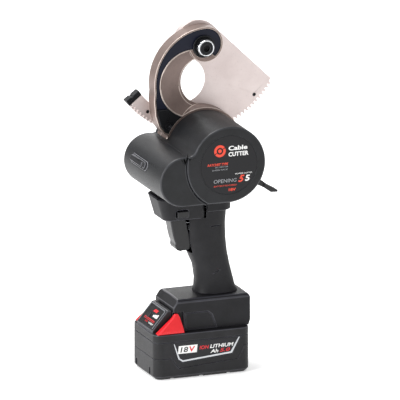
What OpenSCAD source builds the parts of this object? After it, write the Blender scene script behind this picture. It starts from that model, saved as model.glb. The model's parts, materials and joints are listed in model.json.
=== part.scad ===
// Battery-powered ratcheting cable cutter.
// +X points to the back of the tool, -Y to the labelled side, +Z up. The origin
// is the middle of the battery's underside. Sizes are millimetres.

/* [Battery pack] */
// Length of the battery, front to back
battery_l = 122; // [112:1:140]
// Width of the battery
battery_w = 79; // [76:1:95]
// Height of the battery case up to its shoulder
battery_case_h = 56; // [50:1:66]
// Height of the joint between the lower and the upper case
battery_split_z = 26.6; // [22:0.1:30]
// Wall of the battery case
battery_wall = 2.4; // [1.8:0.1:3]
// Radius of the battery's upright corners
battery_corner_r = 10; // [6:0.5:12]
// Height of the guide tower above the shoulder
tower_h = 20; // [18:0.5:24]
// Diameter of one cell
cell_d = 18.4; // [18:0.1:19]
// Length of one cell
cell_len = 65; // [60:0.5:66]
// Travel of each battery latch
latch_travel = 2.4; // [1.5:0.1:2.6]

/* [Foot and handle] */
// Width of the foot block
foot_w = 61; // [58:0.5:68]
// Height of the foot block above the battery shoulder
foot_h = 40; // [34:0.5:46]
// Wall of the foot block beside the guide tower
foot_wall = 5; // [4:0.2:6]
// Wall of the handle shells
handle_wall = 2.6; // [2:0.1:3.2]
// Width of the grip across the hand
grip_w = 38; // [35:0.5:42]
// Travel of the trigger
trigger_travel = 6; // [4:0.5:7]
// Width of the trigger
trigger_w = 20; // [17:0.5:22]
// Travel of the lock button across the handle
lock_travel = 4; // [2:0.5:5]

/* [Housing] */
// Height of the housing's flat underside
case_z = 219; // [216:0.5:240]
// Length of the housing across the tool
case_len = 124; // [122:1:140]
// Radius of the gear drum
drum_r = 46.7; // [45:0.1:52]
// Radius of the motor barrel
motor_r = 30.6; // [29.5:0.1:34]
// Distance from the drum's centre forward to the motor's centre
motor_reach = 57; // [56:0.5:66]
// Distance of the drum's centre behind the origin
drum_x = 24.6; // [20:0.1:30]
// Wall of the housing shells
case_wall = 3; // [2.4:0.1:3.6]
// Radius of the round end label
label_r = 36; // [28:0.5:38]

/* [Cutting head] */
// Near face of the head frame
frame_y = 23; // [20:0.5:26]
// Thickness of the hook and the frame, one plate
frame_t = 20; // [16:0.5:22]
// Radius of the frame's round base
frame_r = 49.5; // [48:0.5:52]
// Outer radius of the hook
hook_r = 67; // [64:0.5:70]
// Radius of the hook's cutting edge
hook_edge_r = 28.7; // [26:0.1:30]
// Radius at which the hook's bevel meets the near face
hook_bevel_r = 41; // [38:0.5:42]
// Thickness of the moving blade
blade_t = 10.7; // [8:0.1:12]
// Radius of the moving blade's cutting edge
blade_edge_r = 27.4; // [25:0.1:28.5]
// Radius of the round hub at the blade's pivot
blade_hub_r = 27.5; // [24:0.5:28]
// Radius of the pivot bolt
pivot_r = 8; // [6:0.1:9]
// Wall of the bush between the blade and the bolt
bush_wall = 2; // [1.5:0.1:3]
// Thickness of the far side cover
cover_t = 8; // [6:0.5:10]

/* [Gears] */
// Teeth that a full circle of the blade's rack would have
sector_teeth = 132; // [126:6:138]
// Teeth on the blade pinion
pinion_teeth = 18; // [18:1:20]
// Pitch of the blade teeth, as a module
sector_module = 1.6667; // [1.6:0.0001:1.7]
// Teeth on the large gear in the drum
wheel_teeth = 72; // [66:1:76]
// Teeth on the idler gear
idler_teeth = 20; // [19:1:22]
// Teeth on the gearbox's output gear
output_teeth = 18; // [17:1:20]
// Pitch of the reduction gears, as a module
train_module = 1; // [0.95:0.01:1.05]
// Radius of the pinion shaft
shaft_r = 8; // [6:0.1:9]

/* [Fits] */
// Gap between pieces that move past each other
gap = 0.3; // [0.25:0.05:0.5]
// Running fit of a bore on its shaft, on the radius
run = 0.05; // [0.02:0.01:0.1]
// Gap between fixed pieces that lie side by side
seat = 0.1; // [0.05:0.05:0.3]
// Width of the shadow line between the battery's cases
joint_line = 0.6; // [0.3:0.1:1]

/* [Hidden] */
$fn = 64;

// Heights and places that follow from the driving sizes
foot_z = battery_case_h + gap;
foot_top = battery_case_h + foot_h;
foot_front = -battery_l / 2 + 26.8;
foot_back = battery_l / 2 + 3;
tower_top = battery_case_h + tower_h;
tower_head_w = foot_w - 2 * foot_wall - 2 * gap - 2;
tower_neck_w = tower_head_w - 9;
neck_h = 7;
tower_front = foot_front + 4;
tower_back = foot_back - 10;
hump_w = 52;
hump_back = foot_front - 1;
hump_top = tower_top + 6;
latch_inner = hump_w / 2 + latch_travel + 0.6;
latch_outer = battery_w / 2 - 1.2;
latch_top = tower_top + 3;
drum_z = case_z + drum_r;
motor_x = drum_x - motor_reach;
motor_z = case_z + motor_r;
near_y = -case_len / 2;
far_y = case_len / 2;
seam_r = drum_r + 7.2;
fillet_r = 10;
frame_back = frame_y + frame_t;
blade_y = frame_back + gap;
blade_back = blade_y + blade_t;
cover_y = blade_back + gap;
cover_back = cover_y + cover_t;
pitch_r = sector_teeth * sector_module / 2;
pinion_r = pinion_teeth * sector_module / 2;
pivot_x = drum_x;
pivot_z = drum_z + pitch_r + pinion_r;
hook_x = pivot_x + 4.4;
hook_z = pivot_z - 43.4;
lobe_r = 21.5;
lobe_x = pivot_x + 3.4;
lobe_z = hook_z + hook_r - lobe_r;
edge_x = pivot_x + 7.4;
edge_z = pivot_z - 47.2;
bevel_x = pivot_x - 13.6;
bevel_z = pivot_z - 44.7;
blade_edge_x = -18.1;
blade_edge_z = -44.7;
tail_r = pitch_r - 18;
blade_start = -29.6;
blade_end = -140.8;
plate_t = 1.6;
plate_sink = 2.4;
wheel_r = wheel_teeth * train_module / 2;
idler_r = idler_teeth * train_module / 2;
output_r = output_teeth * train_module / 2;
train_y = near_y + case_wall + 4;
train_t = 9;
train_gap = 0.15;
d_wheel_idler = wheel_r + idler_r + train_gap;
d_output_idler = output_r + idler_r + train_gap;
d_wheel_output = norm([motor_x - drum_x, motor_z - drum_z]);
idler_along = (pow(d_wheel_idler, 2) - pow(d_output_idler, 2) + pow(d_wheel_output, 2))
    / (2 * d_wheel_output);
idler_off = sqrt(pow(d_wheel_idler, 2) - pow(idler_along, 2));
to_motor = [motor_x - drum_x, motor_z - drum_z] / d_wheel_output;
idler_x = drum_x + idler_along * to_motor[0] - idler_off * to_motor[1];
idler_z = drum_z + idler_along * to_motor[1] + idler_off * to_motor[0];
gearbox_y = train_y + train_t + 3;
gearbox_len = 22;
can_y = gearbox_y + gearbox_len + seat;
can_r = motor_r - case_wall - 2.4;
can_len = frame_y - gap - 1.8 - can_y;
ratchet_y = train_y + train_t + 6;
ratchet_t = 8;
ratchet_r = 22;
ratchet_teeth = 24;
lever_pin_x = drum_x + 33;
lever_pin_z = drum_z - 24;
bolt_circle = frame_r - 9;
bolt_angles = [-155, -90, -25];
grip_z0 = foot_top;
grip_z1 = case_z;
shroud_h = 28;
shroud_w = 50;
shroud_z = case_z - shroud_h;
collar_h = 20;
trigger_x = -13.5;
trigger_z = shroud_z - 41;
switch_x = trigger_x + 12.6 + trigger_travel;
cell_pitch = cell_d + 1.4;
groove_z = battery_case_h - 10;
joint_back_z = battery_split_z + 8;
plate_x0 = -battery_l / 2 + 22.2;
plate_x1 = battery_l / 2 - 12.6;
gauge_slope = atan2(hump_top - battery_case_h - 3, hump_back - 5 + battery_l / 2 - 1.2);
gauge_len = norm([hump_top - battery_case_h - 3, hump_back - 5 + battery_l / 2 - 1.2]) - 6;
gauge_w = 42;
blade_rows = [-13.5, -4.5, 4.5, 13.5];
latch_pocket = hump_w / 2 + 0.3;
ring_points = 36;
lock_x = -20;
light_tilt = 18;
bearing_r = shaft_r + 6;
washer_r = pivot_r + 5.6;
root_x = hook_x - 50;
root_z = hook_z - 51;
screw_half = grip_w / 2 - handle_wall - 1.5;
screw_spots = [[36, foot_top + 12], [22, foot_top + 46], [33, foot_top + 86]];
case_screw_spots = [
    for (a = [120, 180, 240])
        [motor_x + 22 * cos(a), motor_z + 22 * sin(a)]
];

// Angles from the drum to the idler and from the idler to the gearbox, and the
// turns that bring a tooth of each gear against a gap of the next
drum_to_idler = atan2(idler_z - drum_z, idler_x - drum_x);
idler_to_output = atan2(motor_z - idler_z, motor_x - idler_x);
idler_turn = drum_to_idler + 180 + 180 / idler_teeth
    + drum_to_idler * wheel_teeth / idler_teeth;
output_turn = idler_to_output + 180 + 180 / output_teeth
    + (idler_to_output - idler_turn) * idler_teeth / output_teeth;

// ---- Helpers -------------------------------------------------------------

// A plate between two values of Y, with its outline drawn as (x, z)
module slab(y0, y1) {
    translate([0, y1, 0])
        rotate([90, 0, 0])
            linear_extrude(height = y1 - y0)
                children();
}

// A round bar along Y
module bar(x, z, r, y0, y1) {
    translate([x, y0, z])
        rotate([-90, 0, 0])
            cylinder(r = r, h = y1 - y0);
}

// A cone along Y
module taper(x, z, r0, r1, y0, y1) {
    translate([x, y0, z])
        rotate([-90, 0, 0])
            cylinder(r1 = r0, r2 = r1, h = y1 - y0);
}

// A ring along Y
module ring(x, z, outer, inner, y0, y1) {
    difference() {
        bar(x, z, outer, y0, y1);
        bar(x, z, inner, y0 - 1, y1 + 1);
    }
}

module rounded(l, w, r) {
    square([l - 2 * r, w], center = true);
    square([l, w - 2 * r], center = true);
    for (sx = [-1, 1], sy = [-1, 1])
        translate([sx * (l / 2 - r), sy * (w / 2 - r)])
            circle(r = r);
}

module box(x0, x1, y0, y1, z0, z1) {
    translate([x0, y0, z0])
        cube([x1 - x0, y1 - y0, z1 - z0]);
}

function polar(r, a) = [r * cos(a), r * sin(a)];

// Points on an arc, from one angle to another
function arc(centre, r, from, to, steps) =
    [for (k = [0 : steps]) centre + polar(r, from + (to - from) * k / steps)];

// One gear tooth as four points about the pitch angle a
function tooth(r, m, a, slack) =
    let (half = 90 * m / r, root = r - 1.25 * m, tip = r + 0.85 * m)
    [
        polar(root, a - half * 0.78 + slack), polar(tip, a - half * 0.27 + slack / 2),
        polar(tip, a + half * 0.27 - slack / 2), polar(root, a + half * 0.78 - slack)
    ];

module gear(teeth, m, turn) {
    r = teeth * m / 2;
    slack = 2.6 / r;
    polygon([for (k = [0 : teeth - 1]) each tooth(r, m, turn + 360 * k / teeth, slack)]);
}

// ---- Battery -------------------------------------------------------------

module battery_plan(inset) {
    rounded(battery_l - 2 * inset, battery_w - 2 * inset, battery_corner_r - inset);
}

module battery_lower_case() color("dimgray") {
    chamfer = 4.5;
    difference() {
        union() {
            hull() {
                linear_extrude(height = 0.5)
                    battery_plan(chamfer);
                translate([0, 0, chamfer])
                    linear_extrude(height = 0.5)
                        battery_plan(0);
            }
            translate([0, 0, chamfer])
                linear_extrude(height = joint_back_z - chamfer)
                    battery_plan(0);
        }
        battery_hollow();
        slab(-battery_w, battery_w)
            offset(delta = joint_line)
                above_joint();
        plate_recess();
        // notches along the bottom edges, for the charger's guides
        for (x = [-38, -1, 34], side = [-1, 1])
            box(x - 2.2, x + 2.2, side * battery_w / 2 - 7, side * battery_w / 2 + 7, -1, 2.2);
        for (y = [-20, 24])
            box(-battery_l / 2 - 1, -battery_l / 2 + 2, y - 1.9, y + 1.9, -1, 13);
        for (sx = [-1, 1], sy = [-1, 1])
            translate([sx * (battery_l / 2 - 11), sy * (battery_w / 2 - 11), -1])
                cylinder(r = 1.9, h = 12);
    }
}

// Outline (x, z) of all that lies above the joint between the two cases. The joint
// dips below the plates on the sides and rises to the back.
module above_joint() {
    reach = battery_l / 2 + 5;
    polygon([
        [-reach, battery_split_z], [plate_x0 - 1.8, battery_split_z],
        [plate_x0 + 8.6, battery_split_z - 13], [plate_x1 - 3.8, battery_split_z - 8],
        [plate_x1 + 4.6, joint_back_z], [reach, joint_back_z], [reach, 2 * battery_case_h],
        [-reach, 2 * battery_case_h]
    ]);
}

module battery_hollow() {
    translate([0, 0, battery_wall + 1])
        linear_extrude(height = battery_case_h - 2 * battery_wall - 1)
            battery_plan(battery_wall);
}

module hump_outline(inset) {
    polygon([
        [-battery_l / 2 + 1.2 + inset, battery_case_h - 2],
        [-battery_l / 2 + 1.2 + inset, battery_case_h + 3],
        [hump_back - 5 + inset / 2, hump_top - inset], [hump_back - inset, hump_top - inset],
        [hump_back - inset, battery_case_h - 2]
    ]);
}

module battery_upper_case() color("dimgray") {
    groove = 1;
    difference() {
        union() {
            difference() {
                intersection() {
                    linear_extrude(height = battery_case_h)
                        battery_plan(0);
                    slab(-battery_w, battery_w)
                        above_joint();
                }
                translate([0, 0, groove_z])
                    linear_extrude(height = groove)
                        difference() {
                            square([battery_l + 2, battery_w + 2], center = true);
                            battery_plan(groove);
                        }
            }
            slab(-hump_w / 2, hump_w / 2)
                hump_outline(0);
            box(tower_front, tower_back, -tower_neck_w / 2, tower_neck_w / 2, battery_case_h - 1, tower_top);
            box(tower_front, tower_back, -tower_head_w / 2, tower_head_w / 2,
                battery_case_h + neck_h, tower_top);
            box(hump_back - 2, tower_front + 1, -tower_neck_w / 2, tower_neck_w / 2,
                battery_case_h - 1, tower_top - 2);
        }
        battery_hollow();
        // pocket for the gauge panel on the sloping front
        translate([-battery_l / 2 + 1.2, 0, battery_case_h + 3])
            rotate([0, -gauge_slope, 0])
                box(3, gauge_len + 3, -gauge_w / 2, gauge_w / 2, -1.2, 3);
        // slots for the contact blades
        for (y = blade_rows)
            box(tower_back - 17, tower_back + 1, y - 1.4, y + 1.4, tower_top - 11, tower_top + 1);
        plate_recess();
    }
}

module gauge_panel() color("#1c1c1e")
    translate([-battery_l / 2 + 1.2, 0, battery_case_h + 3])
        rotate([0, -gauge_slope, 0])
            difference() {
                box(3 + seat, gauge_len + 3 - seat, -gauge_w / 2 + seat, gauge_w / 2 - seat, -1.1, 0.5);
                translate([gauge_len / 2 + 2, 8, -2])
                    cylinder(r = 4.2, h = 5);
            }

module gauge_button() color("#303033")
    translate([-battery_l / 2 + 1.2, 0, battery_case_h + 3])
        rotate([0, -gauge_slope, 0])
            translate([gauge_len / 2 + 2, 8, 0.3 - 0.6])
                cylinder(r = 3.8, h = 1.6);

// One latch wing: an outline that rises beside the hump, cut by a sloping flank
module latch_wing(side) {
    difference() {
        intersection() {
            slab(-battery_w, battery_w)
                polygon([
                    [-battery_l / 2 + 3.5, battery_case_h + gap], [hump_back - 2, latch_top - 5],
                    [hump_back + 2, latch_top], [foot_front + 5, latch_top],
                    [foot_front + 7, latch_top - 4], [foot_front + 11.6, battery_case_h + gap]
                ]);
            rotate([90, 0, 90])
                translate([0, 0, -battery_l])
                    linear_extrude(height = 2 * battery_l)
                        polygon([
                            [side * latch_inner, battery_case_h], [side * latch_outer, battery_case_h],
                            [side * latch_outer, battery_case_h + 5],
                            [side * (latch_inner + 3.4), latch_top + 1], [side * latch_inner, latch_top + 1]
                        ]);
        }
        for (k = [0 : 3])
            translate([-battery_l / 2 + 20 + 4.2 * k, side * battery_w / 2, battery_case_h + 9])
                rotate([side * 16, 0, 0])
                    cube([0.9, 3, 9], center = true);
    }
}

module battery_latch_left() color("red")
    latch_wing(-1);

module battery_latch_right() color("red")
    latch_wing(1);

module cell_pack() color("#3b7a57")
    for (i = [-2 : 2], k = [0, 1])
        bar(i * cell_pitch, battery_wall + 2 + cell_d / 2 + 0.6 + k * (cell_d + 1.6), cell_d / 2,
            -cell_len / 2, cell_len / 2);

module cell_holder() color("#2b2b2b")
    for (side = [-1, 1])
        difference() {
            box(-2.5 * cell_pitch - 1, 2.5 * cell_pitch + 1, side * 24 - 3, side * 24 + 3,
                battery_wall + 1.3, battery_wall + 3.2 + 2 * cell_d + 3.2);
            for (i = [-2 : 2], k = [0, 1])
                bar(i * cell_pitch, battery_wall + 2 + cell_d / 2 + 0.6 + k * (cell_d + 1.6),
                    cell_d / 2 + seat, -cell_len, cell_len);
        }

module battery_board() color("#2e6b3a") {
    z = battery_wall + 3.2 + 2 * cell_d + 3.4;
    box(-46, 46, -20, 20, z, z + 1.6);
    box(-20, -4, -8, 8, z + 1.6, z + 3.4);
    box(8, 18, -12, -4, z + 1.6, z + 4);
    for (y = blade_rows)
        box(34, 44, y - 2, y + 2, z + 1.6, z + 4.4);
}

// Plate with a slanting outline at a side of the battery, from one depth to another
module side_plate(side, deep, proud, grow) {
    inner = side * (battery_w / 2 - deep);
    outer = side * (battery_w / 2 + proud);
    slab(min(inner, outer), max(inner, outer))
        offset(delta = grow)
            polygon([
                [plate_x0, groove_z - 1], [plate_x0 + 6.3, battery_split_z - 1.6],
                [plate_x0 + 12.1, battery_split_z - 6.3], [plate_x1 - 10.9, battery_split_z - 1.3],
                [plate_x1, groove_z - 1]
            ]);
}

module plate_recess() {
    for (side = [-1, 1])
        side_plate(side, 0.7, 1, 0.3);
}

module battery_side_plates() color("#26272a")
    for (side = [-1, 1])
        side_plate(side, 0.6, 0, 0);

module battery_screws() color("silver")
    for (sx = [-1, 1], sy = [-1, 1])
        translate([sx * (battery_l / 2 - 11), sy * (battery_w / 2 - 11), 0.6]) {
            difference() {
                cylinder(r = 1.8, h = 3);
                translate([0, 0, -0.5])
                    cylinder(r = 0.9, h = 1.6, $fn = 6);
            }
        }

// ---- Foot ----------------------------------------------------------------

module foot_block() color("#232427") {
    half = foot_w / 2;
    inner = tower_head_w / 2 + gap + 1;
    neck = tower_neck_w / 2 + gap + 0.7;
    difference() {
        intersection() {
            slab(-half, half)
                polygon([
                    [foot_front, foot_z], [foot_front, foot_top - 10], [foot_front + 6.6, foot_top],
                    [foot_back - 3, foot_top], [foot_back, foot_top - 4], [foot_back, foot_z + 6],
                    [foot_back - 2, foot_z]
                ]);
            rotate([90, 0, 90])
                translate([0, 0, -battery_l])
                    linear_extrude(height = 2 * battery_l)
                        polygon([
                            [-half, foot_z], [-half, foot_top - 4], [-half + 3, foot_top - 0.8],
                            [0, foot_top], [half - 3, foot_top - 0.8], [half, foot_top - 4], [half, foot_z]
                        ]);
        }
        // way for the battery's guide tower, open at the front
        box(foot_front - 1, tower_back + gap + 1, -inner, inner, battery_case_h + neck_h - gap - 0.4,
            tower_top + gap + 0.7);
        box(foot_front - 1, tower_back + gap + 1, -neck, neck, foot_z - 1, tower_top);
        // pockets beside the tower for the ends of the latches
        for (side = [-1, 1])
            box(foot_front - 1, foot_front + 12.4 + gap, min(side * (half + 1), side * latch_pocket),
                max(side * (half + 1), side * latch_pocket), foot_z - 1, latch_top + 1.2);
        // grooves that frame the side pads
        for (side = [-1, 1])
            slab(side * half - 0.7, side * half + 0.7)
                difference() {
                    pad_outline(1.1);
                    pad_outline(0);
                }
        // seat of the contact block
        box(tower_back - 1, foot_back - 4, -19, 19, tower_top - 14, tower_top + 6);
        // mouth of the hollow grip
        translate([30, 0, tower_top + 4])
            linear_extrude(height = foot_h)
                rounded(24, 18, 6);
    }
}

module pad_outline(grow) {
    offset(delta = grow)
        polygon([
            [foot_front + 15.5, foot_z + 2], [foot_front + 15.5, foot_z + 21],
            [foot_front + 44, foot_z + 21], [foot_front + 48, foot_z + 18], [foot_front + 54, foot_z + 2]
        ]);
}

module contact_block() color("#3a3a3d") {
    box(tower_back + gap + 0.8, foot_back - 4 - seat, -19 + seat, 19 - seat, tower_top - 14 + seat,
        tower_top + 6 - seat);
    for (y = blade_rows)
        box(tower_back - 13, tower_back + gap + 1, y - 0.5, y + 0.5, tower_top - 10, tower_top - 2);
}

// ---- Handle --------------------------------------------------------------

// Sections of the grip: height, middle, depth along X, width along Y
function grip_sections() = [
    [grip_z0 + seat, 30, 54, grip_w + 6], [grip_z0 + 6, 29, 49.5, grip_w + 1],
    [grip_z0 + 16, 28, 46.5, grip_w - 1], [grip_z0 + 33, 24.6, 44.5, grip_w - 1],
    [grip_z0 + 49, 19.5, 48.5, grip_w], [grip_z0 + 65, 16.5, 51, grip_w + 1],
    [grip_z0 + 84, 16, 51, grip_w + 1], [grip_z1 - collar_h - 4, 16.8, 51.6, grip_w + 2],
    [grip_z1 - 0.2, 17, 53, grip_w + 4]
];

// A point of a section: an oval pulled a little towards a rectangle
function oval(a, d, w) =
    let (c = cos(a), s = sin(a), k = 0.8)
    [d / 2 * sign(c) * pow(abs(c), k), w / 2 * sign(s) * pow(abs(s), k)];

function section_ring(s, inset) = [
    for (k = [0 : ring_points - 1])
        let (p = oval(360 * (k + 0.5) / ring_points, s[2] - 2 * inset, s[3] - 2 * inset))
            [s[1] + p[0], p[1], s[0]]
];

module grip_body(inset, over) {
    s = grip_sections();
    n = len(s);
    points = [
        for (i = [0 : n - 1])
            let (z = s[i][0] + (i == 0 ? -over : (i == n - 1 ? over : 0)))
                each section_ring([z, s[i][1], s[i][2], s[i][3]], inset)
    ];
    sides = [
        for (i = [0 : n - 2], k = [0 : ring_points - 1])
            let (a = i * ring_points + k, b = i * ring_points + (k + 1) % ring_points)
                [a, a + ring_points, b + ring_points, b]
    ];
    caps = [
        [for (k = [0 : ring_points - 1]) k],
        [for (k = [ring_points - 1 : -1 : 0]) (n - 1) * ring_points + k]
    ];
    polyhedron(points = points, faces = concat(sides, caps), convexity = 6);
}

module grip_shell(side) {
    difference() {
        grip_body(0, 0);
        grip_body(handle_wall, 2);
        box(-60, 100, min(0, -side * 60) - seat / 4, max(0, -side * 60) + seat / 4, 0, 300);
        // opening for the trigger and its switch
        box(-60, switch_x - 0.6, -trigger_w / 2 - 0.8, trigger_w / 2 + 0.8, trigger_z - 4, shroud_z + 2);
        box(-60, 12, -shroud_w / 2, shroud_w / 2, shroud_z - 0.2, grip_z1 + 1);
        // seats of the screws
        for (p = screw_spots)
            bar(p[0], p[1], 1.8 + run, -screw_half - run, screw_half + run);
        // steps and lines of the moulding
        box(18, 60, side * (grip_w / 2 - 2), side * (grip_w / 2 + 4) + 0.01, grip_z0 + 83, grip_z0 + 84);
        for (z = [grip_z0 + 24 : 9 : grip_z0 + 30])
            translate([20, side * (grip_w / 2 + 1.2), z])
                rotate([0, -22, 0])
                    cube([26, 4, 0.9], center = true);
    }
}

module handle_left_shell() color("#2a2b2e")
    grip_shell(-1);

module handle_right_shell() color("#2a2b2e")
    grip_shell(1);

module handle_screws() color("silver")
    for (p = screw_spots)
        bar(p[0], p[1], 1.8, -screw_half, screw_half);

module grip_collar() color("#2a2b2e")
    translate([0, 0, case_z - collar_h])
        difference() {
            linear_extrude(height = collar_h - seat)
                intersection() {
                    translate([17, 0])
                        rounded(58, grip_w + 10, 16);
                    translate([12 + seat, -50])
                        square([60, 100]);
                }
            translate([0, 0, -case_z + collar_h]) {
                grip_body(-0.15, 2);
                slab(frame_y - gap, grip_w)
                    drum_circle(frame_r + gap);
            }
        }

module trigger_shroud() color("#242528") {
    x0 = -49.5;
    difference() {
        hull() {
            translate([(x0 + 12) / 2, 0, case_z - 0.5 - seat])
                linear_extrude(height = 0.5)
                    rounded(12 - x0, shroud_w, 12);
            translate([(x0 + 8 + 12) / 2, 0, shroud_z])
                linear_extrude(height = 0.5)
                    rounded(12 - x0 - 8, shroud_w - 6, 9);
        }
        box(-36, 13, -trigger_w / 2 - 0.8, trigger_w / 2 + 0.8, shroud_z - 1, case_z - 4);
        // way of the lock button
        box(lock_x - 7.4, lock_x + 7.4, -shroud_w, shroud_w, shroud_z + 3.7, shroud_z + 12.3);
        grip_body(-0.15, 2);
    }
}

module lock_button() color("#1b1b1d")
    box(lock_x - 7, lock_x + 7, -shroud_w / 2 - 1, shroud_w / 2 + 1 - lock_travel,
        shroud_z + 4, shroud_z + 12);

module trigger() color("#1b1b1d")
    difference() {
        slab(-trigger_w / 2, trigger_w / 2) {
            translate([trigger_x + 3, trigger_z + 7])
                circle(r = 7);
            translate([trigger_x - 4, trigger_z + 6.4])
                circle(r = 6.4);
            polygon([
                [trigger_x - 17.6, trigger_z + 44.4], [trigger_x - 16.4, trigger_z + 36],
                [trigger_x - 14.4, trigger_z + 25], [trigger_x - 12.2, trigger_z + 15],
                [trigger_x - 9.8, trigger_z + 9], [trigger_x - 4, trigger_z],
                [trigger_x + 3, trigger_z], [trigger_x + 10, trigger_z + 7],
                [trigger_x + 7, trigger_z + 20], [trigger_x + 4, trigger_z + 32],
                [trigger_x + 2, trigger_z + 44.4]
            ]);
        }
        box(trigger_x - 4, trigger_x + 12, -trigger_w / 2 + 2.4, trigger_w / 2 - 2.4, trigger_z + 15,
            trigger_z + 39.5);
    }

module trigger_switch() color("#303236") {
    box(switch_x, switch_x + 25, -9, 9, trigger_z + 14, trigger_z + 46);
    translate([trigger_x + 3, 0, trigger_z + 27])
        rotate([0, 90, 0])
            cylinder(r = 3, h = switch_x - trigger_x - 3);
}

module trigger_spring() color("silver")
    for (k = [0 : 5])
        translate([trigger_x + 4 + 2.4 * k, 0, trigger_z + 27])
            rotate([0, 90, 0])
                rotate_extrude()
                    translate([4.4, 0])
                        circle(r = 0.5, $fn = 16);

module controller_board() color("#2e6b3a")
    translate([28, 0, foot_top + 26]) {
        cube([1.6, 24, 46], center = true);
        translate([3.2, 0, 6])
            cube([4.8, 16, 20], center = true);
    }

// ---- Housing -------------------------------------------------------------

// Outline of the housing: two circles on one flat base, joined by a hollow curve
module case_outline(inset) {
    span = norm([motor_x - drum_x, motor_z - drum_z]);
    along = (pow(drum_r + fillet_r, 2) - pow(motor_r + fillet_r, 2) + span * span) / (2 * span);
    off = sqrt(pow(drum_r + fillet_r, 2) - along * along);
    fx = drum_x + along * to_motor[0] + off * to_motor[1];
    fz = drum_z + along * to_motor[1] - off * to_motor[0];
    from_drum = atan2(fz - drum_z, fx - drum_x);
    from_motor = atan2(fz - motor_z, fx - motor_x);
    polygon(concat(
        arc([drum_x, drum_z], drum_r - inset, -90, from_drum, 90),
        arc([fx, fz], fillet_r + inset, from_drum - 180.5, from_motor - 179.5, 14),
        arc([motor_x, motor_z], motor_r - inset, from_motor, 270, 70)
    ));
}

module drum_circle(r) {
    translate([drum_x, drum_z])
        circle(r = r);
}

module gear_case() color("#36373a")
    difference() {
        slab(near_y, frame_y - seat)
            intersection() {
                case_outline(0);
                drum_circle(seam_r - gap);
            }
        slab(near_y + case_wall, frame_y)
            case_outline(case_wall);
        // shallow recess of the label on the near face
        bar(drum_x, drum_z, label_r + gap, near_y - 1, near_y + 0.9);
        // slot of the release lever
        translate([drum_x, 0, drum_z])
            rotate([0, 36, 0])
                box(20, 80, ratchet_y - 0.6, ratchet_y + ratchet_t + 0.6, -9, 10);
    }

module motor_cover() color("#36373a")
    difference() {
        slab(near_y, far_y)
            difference() {
                case_outline(0);
                drum_circle(frame_r + gap);
            }
        slab(near_y - 1, frame_y)
            drum_circle(seam_r);
        slab(near_y + case_wall, far_y - case_wall)
            case_outline(case_wall);
        // recess of the work light on the front
        translate([motor_x, 12, motor_z])
            rotate([0, light_tilt, 0])
                translate([-motor_r - 2, 0, 0])
                    rotate([0, 90, 0])
                        linear_extrude(height = 3.6)
                            rounded(13, 54, 6);
        for (p = case_screw_spots)
            bar(p[0], p[1], 2.6, far_y - case_wall - 1, far_y + 1);
    }

module work_light() color("#2c2d30")
    translate([motor_x, 12, motor_z])
        rotate([0, light_tilt, 0])
            translate([-motor_r + 1.5, 0, 0])
                rotate([0, -90, 0])
                    difference() {
                        union() {
                            linear_extrude(height = 2.2)
                                translate([0, 3])
                                    rounded(7, 44, 3.4);
                            linear_extrude(height = 1)
                                rounded(12, 53, 5.6);
                        }
                        translate([0, -15.5, -1])
                            cylinder(r = 3.1, h = 6);
                    }

module work_light_lens() color("#0c0c0e")
    translate([motor_x, 12, motor_z])
        rotate([0, light_tilt, 0])
            translate([-motor_r + 1.5, 0, 0])
                rotate([0, -90, 0])
                    translate([0, -15.5, 0])
                        cylinder(r1 = 3, r2 = 2.6, h = 1.8);

module end_label() color("#2b2c2f")
    bar(drum_x, drum_z, label_r, near_y + 0.3, near_y + 0.9);

module case_screws() color("#1b1b1d")
    for (p = case_screw_spots)
        difference() {
            bar(p[0], p[1], 2.5, far_y - case_wall, far_y - 0.8);
            translate([p[0], far_y - 2, p[1]])
                rotate([-90, 0, 0])
                    cylinder(r = 1.3, h = 2, $fn = 6);
        }

// ---- Cutting head --------------------------------------------------------

module lobe(r) {
    translate([lobe_x, lobe_z])
        circle(r = r);
}

// Outline of the hook's band and root, before its mouth is cut
module hook_outline(inset) {
    intersection() {
        translate([hook_x, hook_z])
            circle(r = hook_r - inset, $fn = 128);
        translate([hook_x - 100, hook_z - 100])
            square([100 - 1, 200]);
    }
    offset(delta = -inset)
        polygon([
            [hook_x - 66, hook_z - 4], [hook_x - 67.3, hook_z - 19], [hook_x - 65.4, hook_z - 38],
            [hook_x - 61, hook_z - 52], [hook_x - 55, hook_z - 60.5], [hook_x - 48, hook_z - 64],
            [hook_x - 28, hook_z - 40], [hook_x - 28, hook_z - 4]
        ]);
}

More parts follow.
